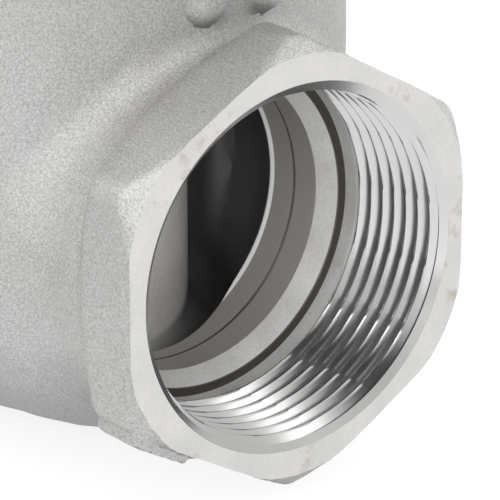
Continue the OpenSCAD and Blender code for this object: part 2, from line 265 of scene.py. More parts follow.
def casting(x, y, z):
    """The outer skin of the body, still closed at the ports and at the top."""
    depth = REACH - np.abs(x - REACH)
    radial = np.hypot(y, z)
    around = np.hypot(x - REACH, y)
    barrel = round_slab(around, z, BARREL_R, -RUN_R, BARREL_TOP, BARREL_EDGE_R)
    run = round_slab(radial, x, RUN_R, RUN_FROM_FACE, 2 * REACH - RUN_FROM_FACE, RUN_EDGE_R)
    skin = blend_union(barrel, run, RUN_FILLET)
    neck = np.maximum(radial - NECK_R, NECK_START - depth)
    skin = blend_union(skin, neck, FILLET)
    skin = np.maximum(skin, z - FLANGE_TOP - MACHINED_OFF)
    flange = round_slab(around, z, FLANGE_R, FLANGE_LOW, FLANGE_TOP + FLANGE_SPARE, FLANGE_EDGE_R)
    skin = blend_union(skin, flange, FILLET)
    from_boss = np.hypot(x - REACH, z - BOSS_Z)
    boss = round_slab(from_boss, np.abs(y), BOSS_R, BOSS_ROOT, BOSS_FACE + MACHINED_OFF, BOSS_EDGE_R)
    skin = blend_union(skin, boss, FILLET)
    near = np.where(x > REACH, 2 * REACH - x, x)
    for side in (-RIB_Y, RIB_Y):
        rib = capsule(near, y, z, (REACH - BARREL_R + RIB_SINK, side, RIB_FOOT), FLANGE_LOW, RIB_R)
        skin = blend_union(skin, rib, RIB_FILLET)
    skin = blend_union(skin, port_end(depth, y, z), HEX_FILLET)
    skin = blend_union(skin, port_pad(x, y, z, depth), PAD_FILLET)
    return roughened(skin, x, y, z)


def outlet_chamber(x, y, z):
    """Space behind the outlet port and under the guide plate, round the riser of the inlet."""
    radial = np.hypot(y, z)
    around = np.hypot(x - REACH, y)
    depth = 2 * REACH - x
    gap_end = WINDOW_DEPTH + GAP_BEHIND_LIP
    gap = round_slab(radial, depth, CHAMBER_R, BORE_DEPTH - 0.1, gap_end, edge=0.6)
    lip = round_slab(radial, depth, WINDOW_R + LIP_T, WINDOW_DEPTH, LIP_END, edge=1.2)
    gap = blend_cut(gap, lip, 1.2)
    window = round_slab(radial, depth, WINDOW_R, WINDOW_DEPTH - 8, REACH + 4, edge=0.5)
    shaft = round_slab(around, z, SHAFT_R, -CHAMBER_R + 3, SHAFT_TOP, edge=4)
    space = blend_union(blend_union(gap, window, WINDOW_FILLET), shaft, SHAFT_FILLET)
    upper = round_slab(around, z, UPPER_R, UPPER_LOW, UPPER_TOP, edge=4)
    space = blend_union(space, upper, SHAFT_FILLET)
    riser = round_slab(around, z, RISER_R, RISER_FOOT, RISER_TOP, edge=0.5)
    space = blend_cut(space, riser, RISER_FILLET)
    block = np.maximum(np.maximum(np.abs(y) - RISER_R, z - RISER_TOP + 0.2), x - REACH)
    space = blend_cut(space, block, 1)
    return np.maximum(space, BORE_DEPTH + INLET_WALL - x)


def inlet_feed(x, y, z):
    """Passage from the inlet port, under the seat and up through the riser."""
    radial = np.hypot(y, z)
    around = np.hypot(x - REACH, y)
    tunnel = blend_common(radial - BORE_R + 0.3, z - FEED_TOP, FEED_FILLET)
    tunnel = blend_common(tunnel, np.abs(y) - FEED_HALF_W, FEED_FILLET)
    tunnel = np.maximum(tunnel, np.maximum(BORE_DEPTH - 1 - x, x - REACH))
    well = round_slab(around, z, FEED_R, FEED_LOW, RISER_TOP - 9, edge=3)
    throat = round_slab(around, z, THROAT_R, RISER_TOP - 10, RISER_TOP + 3, edge=0.3)
    return np.minimum(blend_union(tunnel, well, 1), throat)


def hollow(x, y, z):
    """Everything cored out of the casting, negative where it is open."""
    return np.minimum(outlet_chamber(x, y, z), inlet_feed(x, y, z))


# ---------------------------------------------------------------------------------------------
# Mesh helpers
# ---------------------------------------------------------------------------------------------
def add_object(name, points, faces, materials):
    """Makes an object from points in millimetres and faces that index them."""
    mesh = bpy.data.meshes.new(name)
    mesh.from_pydata((np.asarray(points) * MM).tolist(), [], [list(map(int, f)) for f in faces])
    for material in materials:
        mesh.materials.append(material)
    obj = bpy.data.objects.new(name, mesh)
    bpy.context.scene.collection.objects.link(obj)
    return obj


def settled(points, field, voxel):
    """Moves points of a mesh onto the exact surface of its field, down the field's slope."""
    step = 0.02
    passes = 3
    least_slope = 0.05
    most_move = 0.4 * voxel
    for _ in range(passes):
        at = field(*points.T)
        slope = np.stack([
            field(*(points + step * np.eye(3)[i]).T) - field(*(points - step * np.eye(3)[i]).T)
            for i in range(3)], axis=1) / (2 * step)
        size = np.maximum((slope ** 2).sum(1), least_slope)
        move = -(at / size)[:, None] * slope
        points += np.clip(move, -most_move, most_move)
    return points


def mesh_field(name, field, low, high, voxel, material):
    """Meshes the surface where a distance field is zero, between two corners of a box."""
    outside = 100.0
    axes = [np.arange(a, b + voxel, voxel) for a, b in zip(low, high)]
    values = field(*np.meshgrid(*axes, indexing="ij")).astype(np.float32)
    grid = openvdb.FloatGrid(outside)
    grid.copyFromArray(values)
    points, quads = grid.convertToQuads(0.0)
    quads = np.asarray(quads)
    points = np.asarray(points, float) * voxel + np.array(low, float)
    points = settled(points, field, voxel)
    corners = points[quads]
    area = np.cross(corners[:, 2] - corners[:, 0], corners[:, 3] - corners[:, 1])
    if (corners.mean(1) * area).sum() < 0:
        quads = quads[:, ::-1]
    return add_object(name, points, quads, [material])


def lathe_grid(radii, heights, steps):
    """Points of a surface of revolution about Z. Radii and heights may vary with the angle."""
    angles = np.linspace(0, 2 * math.pi, steps, endpoint=False)
    radii, z = np.broadcast_arrays(np.atleast_2d(radii), np.atleast_2d(heights))
    radii = np.broadcast_to(radii, (steps, radii.shape[1]))
    z = np.broadcast_to(z, radii.shape)
    x = radii * np.cos(angles)[:, None]
    y = radii * np.sin(angles)[:, None]
    return np.stack([x, y, z], axis=2).reshape(-1, 3)


def lathe_faces(rows, steps, closed=False):
    """Quads between the rows of a lathe grid, with end caps unless it closes on itself."""
    faces = []
    spans = rows if closed else rows - 1
    for i in range(steps):
        j = (i + 1) % steps
        for k in range(spans):
            n = (k + 1) % rows
            faces.append((i * rows + k, j * rows + k, j * rows + n, i * rows + n))
    if not closed:
        faces.append([i * rows for i in reversed(range(steps))])
        faces.append([i * rows + rows - 1 for i in range(steps)])
    return faces


def place(obj, matrix):
    """Moves an object's mesh, not the object, so that its origin stays at the frame's."""
    obj.data.transform(matrix)
    if matrix.determinant() < 0:
        obj.data.flip_normals()
    return obj


def shift(x, y, z):
    return Matrix.Translation(Vector((x, y, z)) * MM)


def cut(obj, tool):
    """Cuts a tool out of an object and keeps the tool's materials on the cut faces."""
    modifier = obj.modifiers.new("cut", "BOOLEAN")
    modifier.operation = "DIFFERENCE"
    modifier.solver = "MANIFOLD"
    modifier.object = tool
    modifier.material_mode = "TRANSFER"
    bpy.context.view_layer.objects.active = obj
    bpy.ops.object.modifier_apply(modifier=modifier.name)
    bpy.data.objects.remove(tool)


def smooth(obj, angle=32):
    obj.data.shade_smooth()
    obj.data.set_sharp_from_angle(angle=math.radians(angle))
    return obj


def finish_piece(obj, body, slot, *nodes):
    """Says which body carries a piece and what it replaces; its slot is not used."""
    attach(obj, body)
    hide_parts(*nodes)


# ---------------------------------------------------------------------------------------------
# Materials
# ---------------------------------------------------------------------------------------------
MIX_FACTOR, MIX_A, MIX_B = 0, 6, 7
MIX_RESULT = 2


class Nodes:
    """A short way to write a node tree."""

    def __init__(self, name):
        self.material = bpy.data.materials.new(name)
        self.material.use_nodes = True
        self.tree = self.material.node_tree
        self.shader = self.tree.nodes["Principled BSDF"]
        self.coords = self.add("ShaderNodeTexCoord").outputs["Object"]

    def add(self, kind, **values):
        node = self.tree.nodes.new(kind)
        for key, value in values.items():
            setattr(node, key, value)
        return node

    def link(self, a, b):
        self.tree.links.new(a, b)

    def noise(self, scale, detail=2.0, rough=0.5, stretch=None):
        node = self.add("ShaderNodeTexNoise")
        node.inputs["Scale"].default_value = scale
        node.inputs["Detail"].default_value = detail
        node.inputs["Roughness"].default_value = rough
        source = self.coords
        if stretch:
            mapping = self.add("ShaderNodeMapping")
            mapping.inputs["Scale"].default_value = stretch
            self.link(source, mapping.inputs["Vector"])
            source = mapping.outputs["Vector"]
        self.link(source, node.inputs["Vector"])
        return node.outputs["Fac"]

    def ramp(self, source, stops):
        """Colours between two stops, each a place and a colour."""
        node = self.add("ShaderNodeValToRGB")
        for element, (at, colour) in zip(node.color_ramp.elements, stops):
            element.position = at
            element.color = colour
        self.link(source, node.inputs["Fac"])
        return node.outputs["Color"]

    def mix(self, fac, a, b, blend="MIX"):
        node = self.add("ShaderNodeMix", data_type="RGBA", blend_type=blend)
        for value, place_of in ((fac, MIX_FACTOR), (a, MIX_A), (b, MIX_B)):
            socket = node.inputs[place_of]
            if isinstance(value, bpy.types.NodeSocket):
                self.link(value, socket)
            else:
                socket.default_value = value
        return node.outputs[MIX_RESULT]

    def times(self, a, b):
        return self.mix(1.0, a, b, "MULTIPLY")

    def apart(self, vector):
        """The X, Y and Z of a vector."""
        node = self.add("ShaderNodeSeparateXYZ")
        self.link(vector, node.inputs["Vector"])
        return node.outputs

    def bump(self, source, strength, distance, below=None):
        node = self.add("ShaderNodeBump")
        node.inputs["Strength"].default_value = strength
        node.inputs["Distance"].default_value = distance
        self.link(source, node.inputs["Height"])
        if below:
            self.link(below, node.inputs["Normal"])
        return node.outputs["Normal"]

    def fade(self, source, low, high, at_low, at_high):
        node = self.add("ShaderNodeMapRange")
        for name, value in (("From Min", low), ("From Max", high), ("To Min", at_low), ("To Max", at_high)):
            node.inputs[name].default_value = value
        self.link(source, node.inputs["Value"])
        return node.outputs["Result"]

    def set(self, **values):
        for key, value in values.items():
            self.shader.inputs[key.replace("_", " ")].default_value = value


def grey(value, warm=0.0):
    return (value * (1 + warm), value, value * (1 - warm), 1)


def cast_material():
    """Bead-blasted cast stainless steel, with painted shade on faces turned down and a painted highlight on
    faces turned up, on the ports below the flange.
    """
    n = Nodes("cast_steel")
    n.set(Metallic=0.6)
    patches = n.ramp(n.noise(scale=60, detail=3), [(0.3, grey(0.54, 0.016)), (0.7, grey(0.60, 0.004))])
    grain = n.ramp(n.noise(scale=3800, rough=0.6), [(0.32, grey(0.60)), (0.68, grey(1.0))])
    facing = n.apart(n.add("ShaderNodeNewGeometry").outputs["Normal"])["Z"]
    height = n.apart(n.coords)["Z"]
    # Painted shade on faces turned down stands in for the floor's contact shadow; a painted highlight on
    # faces turned up is held to heights below the flange.
    painted_underside_shade = n.fade(facing, low=-0.90, high=-0.35, at_low=0.55, at_high=1.0)
    painted_top_highlight = n.fade(facing, low=0.05, high=0.60, at_low=1.0, at_high=1.45)
    highlight_held_below_flange = n.fade(height, low=0.036, high=0.046, at_low=1.45, at_high=1.0)
    tone = n.times(n.times(patches, grain), painted_underside_shade)
    tone = n.times(tone, n.mix(1.0, painted_top_highlight, highlight_held_below_flange, "DARKEN"))
    n.link(tone, n.shader.inputs["Base Color"])
    n.link(n.ramp(n.noise(scale=1500), [(0.2, grey(0.42)), (0.8, grey(0.58))]), n.shader.inputs["Roughness"])
    wide = n.bump(n.noise(scale=420), strength=0.30, distance=0.00014)
    fine = n.noise(scale=3600, detail=3, rough=0.65)
    n.link(n.bump(fine, strength=1.0, distance=0.00015, below=wide), n.shader.inputs["Normal"])
    return n.material


def face_material():
    """Faced port end: pale, matt, with a few small brown stains."""
    brown = (0.40, 0.33, 0.25, 1)
    n = Nodes("port_face")
    n.set(Metallic=0.6, Roughness=0.42)
    base = n.ramp(n.noise(scale=180, detail=3), [(0.3, grey(0.57, 0.008)), (0.7, grey(0.63, 0.014))])
    grain = n.ramp(n.noise(scale=2600, rough=0.6), [(0.3, grey(0.93)), (0.7, grey(1.0))])
    stain = n.ramp(n.noise(scale=150, detail=4, rough=0.7), [(0.58, grey(0)), (0.70, grey(0.8))])
    n.link(n.mix(stain, n.times(base, grain), brown), n.shader.inputs["Base Color"])
    n.link(n.bump(n.noise(scale=1600), strength=0.3, distance=0.00004), n.shader.inputs["Normal"])
    return n.material


def turned_material(name, value, rough, lines=0.25, axis="X", warm=0.004, metallic=1.0):
    """Turned steel, with fine tool marks across the turning axis."""
    along = 0.02
    stretch = {"X": (1, along, along), "Z": (along, along, 1)}[axis]
    n = Nodes(name)
    n.set(Metallic=metallic, Roughness=rough)
    marks = n.noise(scale=6500, rough=0.6, stretch=stretch)
    tone = n.ramp(n.noise(scale=70), [(0.3, grey(value * 0.94, warm)), (0.7, grey(value, warm))])
    n.link(tone, n.shader.inputs["Base Color"])
    n.link(n.bump(marks, lines, distance=0.00002), n.shader.inputs["Normal"])
    return n.material


def inner_material(name, value, rough, warm=0.03, recess_shade=None):
    """Cast surface inside the valve, with painted shade in the recess round the window, kept off the side
    towards -Y where light falls in.
    """
    n = Nodes(name)
    n.set(Metallic=0.15, Roughness=rough)
    cloud = n.noise(scale=110, detail=4, rough=0.6)
    tone = n.ramp(cloud, [(0.3, grey(value * 0.8, warm)), (0.7, grey(value, warm * 0.5))])
    grain = n.ramp(n.noise(scale=2600, rough=0.6), [(0.3, grey(0.85)), (0.7, grey(1.0))])
    tone = n.times(tone, grain)
    if recess_shade:
        # Painted shade: darker beyond the window lip's radius, except towards -Y where light falls into the
        # chamber.
        place_in = n.apart(n.coords)
        flat = n.add("ShaderNodeCombineXYZ")
        for axis in "YZ":
            n.link(place_in[axis], flat.inputs[axis])
        radial = n.add("ShaderNodeVectorMath", operation="LENGTH")
        n.link(flat.outputs["Vector"], radial.inputs[0])
        outer = n.fade(radial.outputs["Value"], low=0.0212, high=0.0226, at_low=1.0, at_high=recess_shade)
        shade_by_side = n.fade(place_in["Y"], low=-0.002, high=0.010, at_low=1.0, at_high=recess_shade)
        tone = n.times(tone, n.mix(1.0, outer, shade_by_side, "LIGHTEN"))
    n.link(tone, n.shader.inputs["Base Color"])
    rough_skin = n.noise(scale=1100, detail=3, rough=0.6)
    n.link(n.bump(rough_skin, strength=0.4, distance=0.00008), n.shader.inputs["Normal"])
    return n.material


def plain_material(name, colour, rough, grain=1500.0):
    """Seals, gaskets and the plastic of the seat."""
    n = Nodes(name)
    n.set(Metallic=0.0, Roughness=rough)
    dark = tuple(c * 0.85 for c in colour[:3]) + (1,)
    n.link(n.ramp(n.noise(grain, detail=3), [(0.3, dark), (0.7, colour)]), n.shader.inputs["Base Color"])
    n.link(n.bump(n.noise(grain * 1.6), strength=0.2, distance=0.00003), n.shader.inputs["Normal"])
    return n.material


CAST = cast_material()
FACE = face_material()
THREAD = turned_material("thread_steel", value=0.62, rough=0.20, lines=0.15)
BAND = turned_material("bore_band", value=0.53, rough=0.45, warm=0.03, metallic=0.5)
MATT = inner_material("bore_shoulder", value=0.78, rough=0.6, warm=0.015)
# Painted shade: a near-black steel for the step behind the thread relief and the crevice of the bore, where
# shade falls.
GROOVE_SHADE = turned_material("bore_groove_shade", value=0.14, rough=0.5, warm=0.06)
# Painted highlight: a near-white, mostly non-metal rim at the inner end of the bore stands in for a bright
# edge highlight.
RIM_HIGHLIGHT = turned_material("bore_rim_highlight", value=0.95, rough=0.5, metallic=0.2)
INNER = inner_material("inner_casting", value=0.72, rough=0.5, recess_shade=0.24)
TURNED = turned_material("turned_steel", value=0.66, rough=0.26, axis="Z")
POLISHED = turned_material("polished_steel", value=0.74, rough=0.14, lines=0.08, axis="Z")
WIRE = turned_material("spring_wire", value=0.38, rough=0.34, lines=0.2, axis="Z")
RUBBER = plain_material("seal_rubber", (0.03, 0.03, 0.03, 1), rough=0.55)
PTFE = plain_material("seat_plastic", (0.82, 0.80, 0.75, 1), rough=0.42)
BRONZE = turned_material("bush_bronze", value=0.55, rough=0.3, axis="Z", warm=0.45)
FIBRE = plain_material("gasket_fibre", (0.16, 0.16, 0.17, 1), rough=0.75, grain=900.0)


# ---------------------------------------------------------------------------------------------
# Port bore, cut as one turned tool
# ---------------------------------------------------------------------------------------------
def thread_depth(turns, depth, flat=0.10):
    """Depth of a V thread with narrow flats, at a place along it counted in turns."""
    flank = 1 - np.abs((turns % 1.0) - 0.5) * 2
    return depth * np.clip((flank - flat) / (1 - 2 * flat), 0, 1)


def port_tool(steps, rows_per_turn):
    """Everything that machining takes from a port, about Z, with the face at zero."""
    before = [
        (-PORT_TOOL_BACK, PORT_TOOL_R, FACE),
        (0.0, PORT_TOOL_R, FACE),
        (0.0, MOUTH_R, FACE),
        (MOUTH_LEN, MOUTH_R - MOUTH_SLOPE * MOUTH_LEN, THREAD),
    ]
    thread_count = int((THREAD_END - MOUTH_LEN) / THREAD_PITCH * rows_per_turn)
    thread_at = np.linspace(MOUTH_LEN, THREAD_END, thread_count + 1)[1:]
    after = [
        (THREAD_END + 0.5, GROOVE_R, MATT),
        (GROOVE_END, GROOVE_R, MATT),
        # The step rows here and the crevice rows below get the near-black painted shade material.
        (GROOVE_END + 0.05, SHOULDER_R + 0.15, GROOVE_SHADE),
        (GROOVE_END + 0.2, SHOULDER_R, GROOVE_SHADE),
        (GROOVE_END + SHOULDER_LEN, BORE_R, MATT),
        (CREVICE_START, BORE_R + 0.1, BAND),
        (CREVICE_MIDDLE, BORE_R + CREVICE_D, GROOVE_SHADE),
        (CREVICE_END, BAND_R, GROOVE_SHADE),
        (BORE_DEPTH - 0.9, BAND_R, BAND),
        # The rim rows get the near-white painted highlight material.
        (BORE_DEPTH - RIM_LEN, RIM_R, RIM_HIGHLIGHT),
        (BORE_DEPTH, RIM_R, RIM_HIGHLIGHT),
    ]
    heights = [row[0] for row in before] + thread_at.tolist() + [row[0] for row in after]
    angles = np.linspace(0, 2 * math.pi, steps, endpoint=False)
    radii = np.zeros((steps, len(heights)))
    radii[:, :len(before)] = [row[1] for row in before]
    radii[:, -len(after):] = [row[1] for row in after]
    turns = thread_at[None, :] / THREAD_PITCH + angles[:, None] / (2 * math.pi)
    chamfer = MOUTH_R - MOUTH_SLOPE * thread_at[None, :]
    cut_depth = thread_depth(turns, THREAD_MAJOR_R - THREAD_MINOR_R)
    radii[:, len(before):-len(after)] = np.maximum(THREAD_MINOR_R + cut_depth, chamfer)
    points = lathe_grid(radii, heights, steps)
    points[:, 2] *= -1
    rows = len(heights)
    faces = [face[::-1] for face in lathe_faces(rows, steps)]
    materials = [FACE, THREAD, BAND, GROOVE_SHADE, MATT, RIM_HIGHLIGHT]
    tool = add_object("port_tool", points, faces, materials)
    row_materials = [row[2] for row in before] + [THREAD] * thread_count + [row[2] for row in after]
    row_index = [materials.index(material) for material in row_materials]
    for polygon in tool.data.polygons:
        if len(polygon.vertices) == 4:
            polygon.material_index = row_index[max(v % rows for v in polygon.vertices)]
    return tool


def disc_tool(name, radius, low, high, material, steps=96):
    """A plain round tool about Z."""
    points = lathe_grid([[radius, radius]] * steps, [low, high], steps)
    return add_object(name, points, lathe_faces(2, steps), [material])


def about(axis, degrees):
    return Matrix.Rotation(math.radians(degrees), 4, axis)


def on_stem(obj):
    return place(obj, shift(REACH, 0, 0))


def around_bolts(obj):
    """Repeats a piece, drawn about Z, at every bolt place as one mesh."""
    mesh = bmesh.new()
    for i in range(BOLT_COUNT):
        angle = (i + 0.5) * 2 * math.pi / BOLT_COUNT
        spot = shift(REACH + BOLT_CIRCLE_R * math.cos(angle), BOLT_CIRCLE_R * math.sin(angle), 0)
        part = obj.data.copy()
        part.transform(spot @ Matrix.Rotation(angle * BOLT_TWIST, 4, "Z"))
        mesh.from_mesh(part)
        bpy.data.meshes.remove(part)
    mesh.to_mesh(obj.data)
    mesh.free()
    return obj


def face_side(obj, side, height, reach):
    """Turns a piece drawn about Z so that it points out along +Y or -Y."""
    place(obj, about("X", -90 * side))
    return place(obj, shift(REACH, side * reach, height))


def make_body():
    half_w = 48
    half_core = 34
    clear_r = 80
    clear_h = 20
    body = mesh_field("valve_casting", casting, (-4, -half_w, -38), (2 * REACH + 4, half_w, FLANGE_TOP + 4),
                      voxel=0.9, material=CAST)
    outlet = place(port_tool(steps=240, rows_per_turn=16), about("Y", 90))
    cut(body, place(outlet, shift(2 * REACH, 0, 0)))
    cut(body, place(port_tool(steps=144, rows_per_turn=10), about("Y", -90)))
    cut(body, on_stem(disc_tool("top_tool", clear_r, FLANGE_TOP, FLANGE_TOP + clear_h, TURNED)))
    recess_low = FLANGE_TOP - PLATE_T
    recess_shade = disc_tool("recess_tool", PLATE_R, recess_low, FLANGE_TOP + clear_h, TURNED, steps=144)
    cut(body, on_stem(recess_shade))
    core_low = (24, -half_core, -half_core)
    core_high = (2 * REACH - BORE_DEPTH + 4, half_core, 49)
    cut(body, mesh_field("chamber_tool", hollow, core_low, core_high, voxel=1.1, material=INNER))
    bolt_holes = disc_tool("bolt_tool", BOLT_R, FLANGE_LOW - 1, FLANGE_TOP + 2, TURNED, steps=32)
    cut(body, around_bolts(bolt_holes))
    profile = [
        (0, -PLUG_HOLE), (PLUG_R, -PLUG_HOLE), (PLUG_R, -PLUG_CHAMFER), (PLUG_R + PLUG_CHAMFER, 0),
        (SPOT_FACE_R, 0), (SPOT_FACE_R, 8), (0, 8)]
    for side in (-1, 1):
        cut(body, face_side(turned("gauge_tool", profile, TURNED, edge=0.05), side, BOSS_Z, BOSS_FACE))
    finish_piece(smooth(body), "valve_body", "cast_steel", "body")


# ---------------------------------------------------------------------------------------------
# Turned, hexagonal and threaded pieces
# ---------------------------------------------------------------------------------------------
def levels(node):
    """Lowest and highest height of a node, and its radius about the stem."""
    low, high = box_mm(node)
    return low[2], high[2], (high[0] - low[0]) / 2


def softened(profile, edge, closed):
    """Rounds each corner of a lathe profile."""
    points = [Vector(p) for p in profile]
    result = []
    for i, corner in enumerate(points):
        if not closed and i in (0, len(points) - 1):
            result.append(corner)
            continue
        before = points[i - 1] - corner
        after = points[(i + 1) % len(points)] - corner
        size = min(edge, before.length * 0.4, after.length * 0.4)
        a = corner + before.normalized() * size
        b = corner + after.normalized() * size
        result += [a, (a + b + 2 * corner) / 4, b]
    return result


def outward(obj):
    mesh = bmesh.new()
    mesh.from_mesh(obj.data)
    bmesh.ops.recalc_face_normals(mesh, faces=mesh.faces)
    mesh.to_mesh(obj.data)
    mesh.free()
    return obj


def spun(name, radii, heights, material, steps, closed):
    """A surface of revolution, either a closed ring or a solid capped at both ends."""
    points = lathe_grid(radii, heights, steps)
    faces = lathe_faces(len(points) // steps, steps, closed)
    return outward(add_object(name, points, faces, [material]))


def turned(name, profile, material, edge, steps=96):
    """A turned piece about Z. A profile that starts and ends on the axis makes a solid."""
    solid = profile[0][0] == 0
    points = softened(profile, edge, not solid)
    if solid:
        points = points[1:-1]
    return spun(name, [p[0] for p in points], [p[1] for p in points], material, steps, not solid)


def hexagon_radius(across, steps):
    angles = np.linspace(0, 2 * math.pi, steps, endpoint=False)
    return across / 2 / np.cos(angles % (math.pi / 3) - math.pi / 6)


def spun_rows(name, rows, material, steps, closed=False):
    """Like spun, from rows of a radius and a height that may vary with the angle."""
    radii = np.stack([np.broadcast_to(radius, steps) for radius, _ in rows], axis=1)
    heights = np.stack([np.broadcast_to(height, steps) for _, height in rows], axis=1)
    return spun(name, radii, heights, material, steps, closed)


def ring_profile(inner, outer, low, high):
    return [(inner, low), (outer, low), (outer, high), (inner, high)]


def stem_piece(name, body, slot, profile, material, edge, steps=96):
    """A turned piece about the stem, which replaces the CAD node of its own name."""
    piece = on_stem(turned(name, profile, material, edge, steps))
    finish_piece(smooth(piece), body, slot, name)


def hexagon_rows(across, low, high, steps, chamfered_below=False):
    """Rows of a hexagon whose corners are chamfered at 30 degrees."""
    edge = 0.2
    corner = hexagon_radius(across, steps)
    face = across * 0.475
    drop = (corner - face) * math.tan(math.radians(30))
    below = [(corner - edge, low), (corner, low + edge)]
    if chamfered_below:
        below = [(face, low), (corner, low + drop)]
    return below + [(corner, high - drop), (face, high)]


def thread_rows(radius, depth, pitch, low, high, steps, per_turn=8):
    """Rows of an outside right-hand thread."""
    angles = np.linspace(0, 2 * math.pi, steps, endpoint=False)
    heights = np.linspace(low, high, int((high - low) / pitch * per_turn) + 1)
    fade = [min(1, (h - low) / pitch, (high - h) / pitch) for h in heights]
    return [(radius - f * thread_depth(h / pitch - angles / (2 * math.pi), depth), h)
            for h, f in zip(heights, fade)]


def tube_faces(rings, count):
    """Faces of a tube from rings of points, with flat ends."""
    faces = []
    for i in range(rings - 1):
        for k in range(count):
            n = (k + 1) % count
            faces.append((i * count + k, i * count + n, (i + 1) * count + n, (i + 1) * count + k))
    faces.append(list(reversed(range(count))))
    faces.append([(rings - 1) * count + k for k in range(count)])
    return faces


def make_seat():
    flow_r = 10.5
    thread_r = 14
    lip_r = 12.2
    low, high, flange_r = levels("seat_ring")
    seal_low, seal_high, seal_r = levels("seat_ring_seal")
    groove_r = seal_r - 1.9
    stem_piece("seat_ring", "valve_body", "turned_steel", [
        (flow_r, low), (thread_r, low), (thread_r, seal_low), (groove_r, seal_low), (groove_r, seal_high),
        (seal_r, seal_high), (seal_r, seal_low), (flange_r, seal_low), (flange_r, high - 1),
        (lip_r + 0.3, high - 1), (lip_r, high), (lip_r - 1, high), (flow_r, high - 0.8)], TURNED, edge=0.25)

    wire_r = (seal_high - seal_low) / 2
    turn = np.linspace(0, 2 * math.pi, 16, endpoint=False)
    seal = spun("seat_ring_seal", seal_r - wire_r + wire_r * np.cos(turn),
                seal_low + wire_r + wire_r * np.sin(turn), RUBBER, steps=96, closed=True)
    finish_piece(smooth(on_stem(seal), angle=60), "valve_body", "seal_rubber", "seat_ring_seal")


def make_disc():
    shank_r = 3
    hub_r = 9
    low, high, radius = levels("disc_holder")
    washer_low, washer_high, washer_r = levels("seat_washer")
    stem_low, _, stem_r = levels("stem")
    stem_piece("disc_holder", "disc", "turned_steel", [
        (0, stem_low - 1), (shank_r, stem_low - 1), (shank_r, washer_high), (washer_r, washer_high),
        (washer_r, low), (radius, low), (radius, high - 4.4), (radius - 1.4, high - 3), (hub_r, high - 3),
        (hub_r, high), (stem_r, high), (stem_r, stem_low), (0, stem_low)], TURNED, edge=0.35)
    washer = ring_profile(shank_r, washer_r, washer_low, washer_high)
    stem_piece("seat_washer", "disc", "seat_plastic", washer, PTFE, edge=0.4)
    low, high, radius = levels("washer_retainer")
    retainer = [(shank_r, low), (radius - 0.4, low), (radius, high), (shank_r, high)]
    stem_piece("washer_retainer", "disc", "turned_steel", retainer, TURNED, edge=0.2)

    steps = 48
    low, high, radius = levels("retainer_screw")
    head_top = low + 2.6
    rows = [(radius - 0.5, low), (radius, low + 0.5), (radius, head_top), (shank_r - 0.2, head_top)]
    rows += thread_rows(shank_r - THREAD_SLACK, 0.5, 1.0, head_top + 0.1, high - 0.4, steps)
    rows += [(shank_r - 0.8, high)]
    screw = spun_rows("retainer_screw", rows, POLISHED, steps)
    cut(screw, disc_tool("socket_tool", 2.3, low - 1, low + 1.8, POLISHED, steps=6))
    finish_piece(smooth(on_stem(screw)), "disc", "polished_steel", "retainer_screw")


def make_stem():
    clip_low, clip_high, clip_r = levels("stem_circlip")
    low, high, stem_r = levels("stem")
    groove_r = stem_r - 0.8
    stem_piece("stem", "disc", "polished_steel", [
        (0, low), (stem_r, low), (stem_r, clip_low), (groove_r, clip_low), (groove_r, clip_high),
        (stem_r, clip_high), (stem_r, high - 1.2), (stem_r - 1.2, high), (0, high)], POLISHED, edge=0.15)

    gap = 0.30
    turn = np.linspace(gap, 2 * math.pi - gap, 61)
    section = softened(ring_profile(groove_r, clip_r, clip_low, clip_high), edge=0.2, closed=True)
    points = [(r * math.cos(a), r * math.sin(a), h) for a in turn for r, h in section]
    clip = outward(add_object("stem_circlip", points, tube_faces(len(turn), len(section)), [WIRE]))
    finish_piece(smooth(on_stem(clip)), "disc", "spring_steel", "stem_circlip")


def make_guide():
    bush_r = 7.5
    hub_r = 12
    hole_circle_r = 22
    hole_count = 6
    low, high, plate_r = levels("guide_plate")
    plate_low = high - PLATE_T
    plate = turned("guide_plate", [
        (bush_r, low), (hub_r - 1, low), (hub_r, low + 1), (hub_r, plate_low), (plate_r, plate_low),
        (plate_r, high), (bush_r, high)], TURNED, edge=0.4, steps=144)
    for i in range(hole_count):
        hole = disc_tool("balance_tool", 2, plate_low - 2, high + 2, TURNED, steps=24)
        cut(plate, place(hole, about("Z", i * 360 / hole_count) @ shift(hole_circle_r, 0, 0)))
    finish_piece(smooth(on_stem(plate)), "valve_body", "turned_steel", "guide_plate")

    bore_r = levels("stem")[2] + FIT
    low, high, flange_r = levels("guide_bush")
    stem_piece("guide_bush", "valve_body", "bush_bronze", [
        (bore_r, low), (bush_r, low), (bush_r, high - 2), (flange_r, high - 2), (flange_r, high),
        (bore_r, high)], BRONZE, edge=0.3)
    low, high, outer_r = levels("body_gasket")
    gasket = ring_profile(PLATE_R + 0.85, outer_r, low, high)
    stem_piece("body_gasket", "valve_body", "gasket_fibre", gasket, FIBRE, edge=0.12, steps=144)


# ---------------------------------------------------------------------------------------------
# Bonnet and its bolts
# ---------------------------------------------------------------------------------------------
BONNET_LOW, BONNET_TOP, BONNET_FLANGE_R = levels("bonnet")
BONNET_R = 31.0
BONNET_EDGE_R = 12.0
BONNET_BORE_R = 25.0
BONNET_BORE_TOP = levels("upper_spring_seat")[1] + 10
BONNET_WALL = 6.0
BONNET_NECK_R = 18.0
SCREW_R = 10.0
BOLT_ACROSS = 13


def bonnet_skin(x, y, z):
    low = BONNET_LOW - FLANGE_SPARE
    around = np.hypot(x - REACH, y)
    flange = round_slab(around, z, BONNET_FLANGE_R, low, BONNET_LOW + FLANGE_T, FLANGE_EDGE_R)
    dome = round_slab(around, z, BONNET_R, low, BONNET_BORE_TOP + BONNET_WALL, BONNET_EDGE_R)
    neck = round_slab(around, z, BONNET_NECK_R, BONNET_BORE_TOP - 10, BONNET_TOP + 6, edge=1)
    skin = blend_union(blend_union(flange, dome, k=6), neck, k=5)
    return roughened(skin, x, y, z)


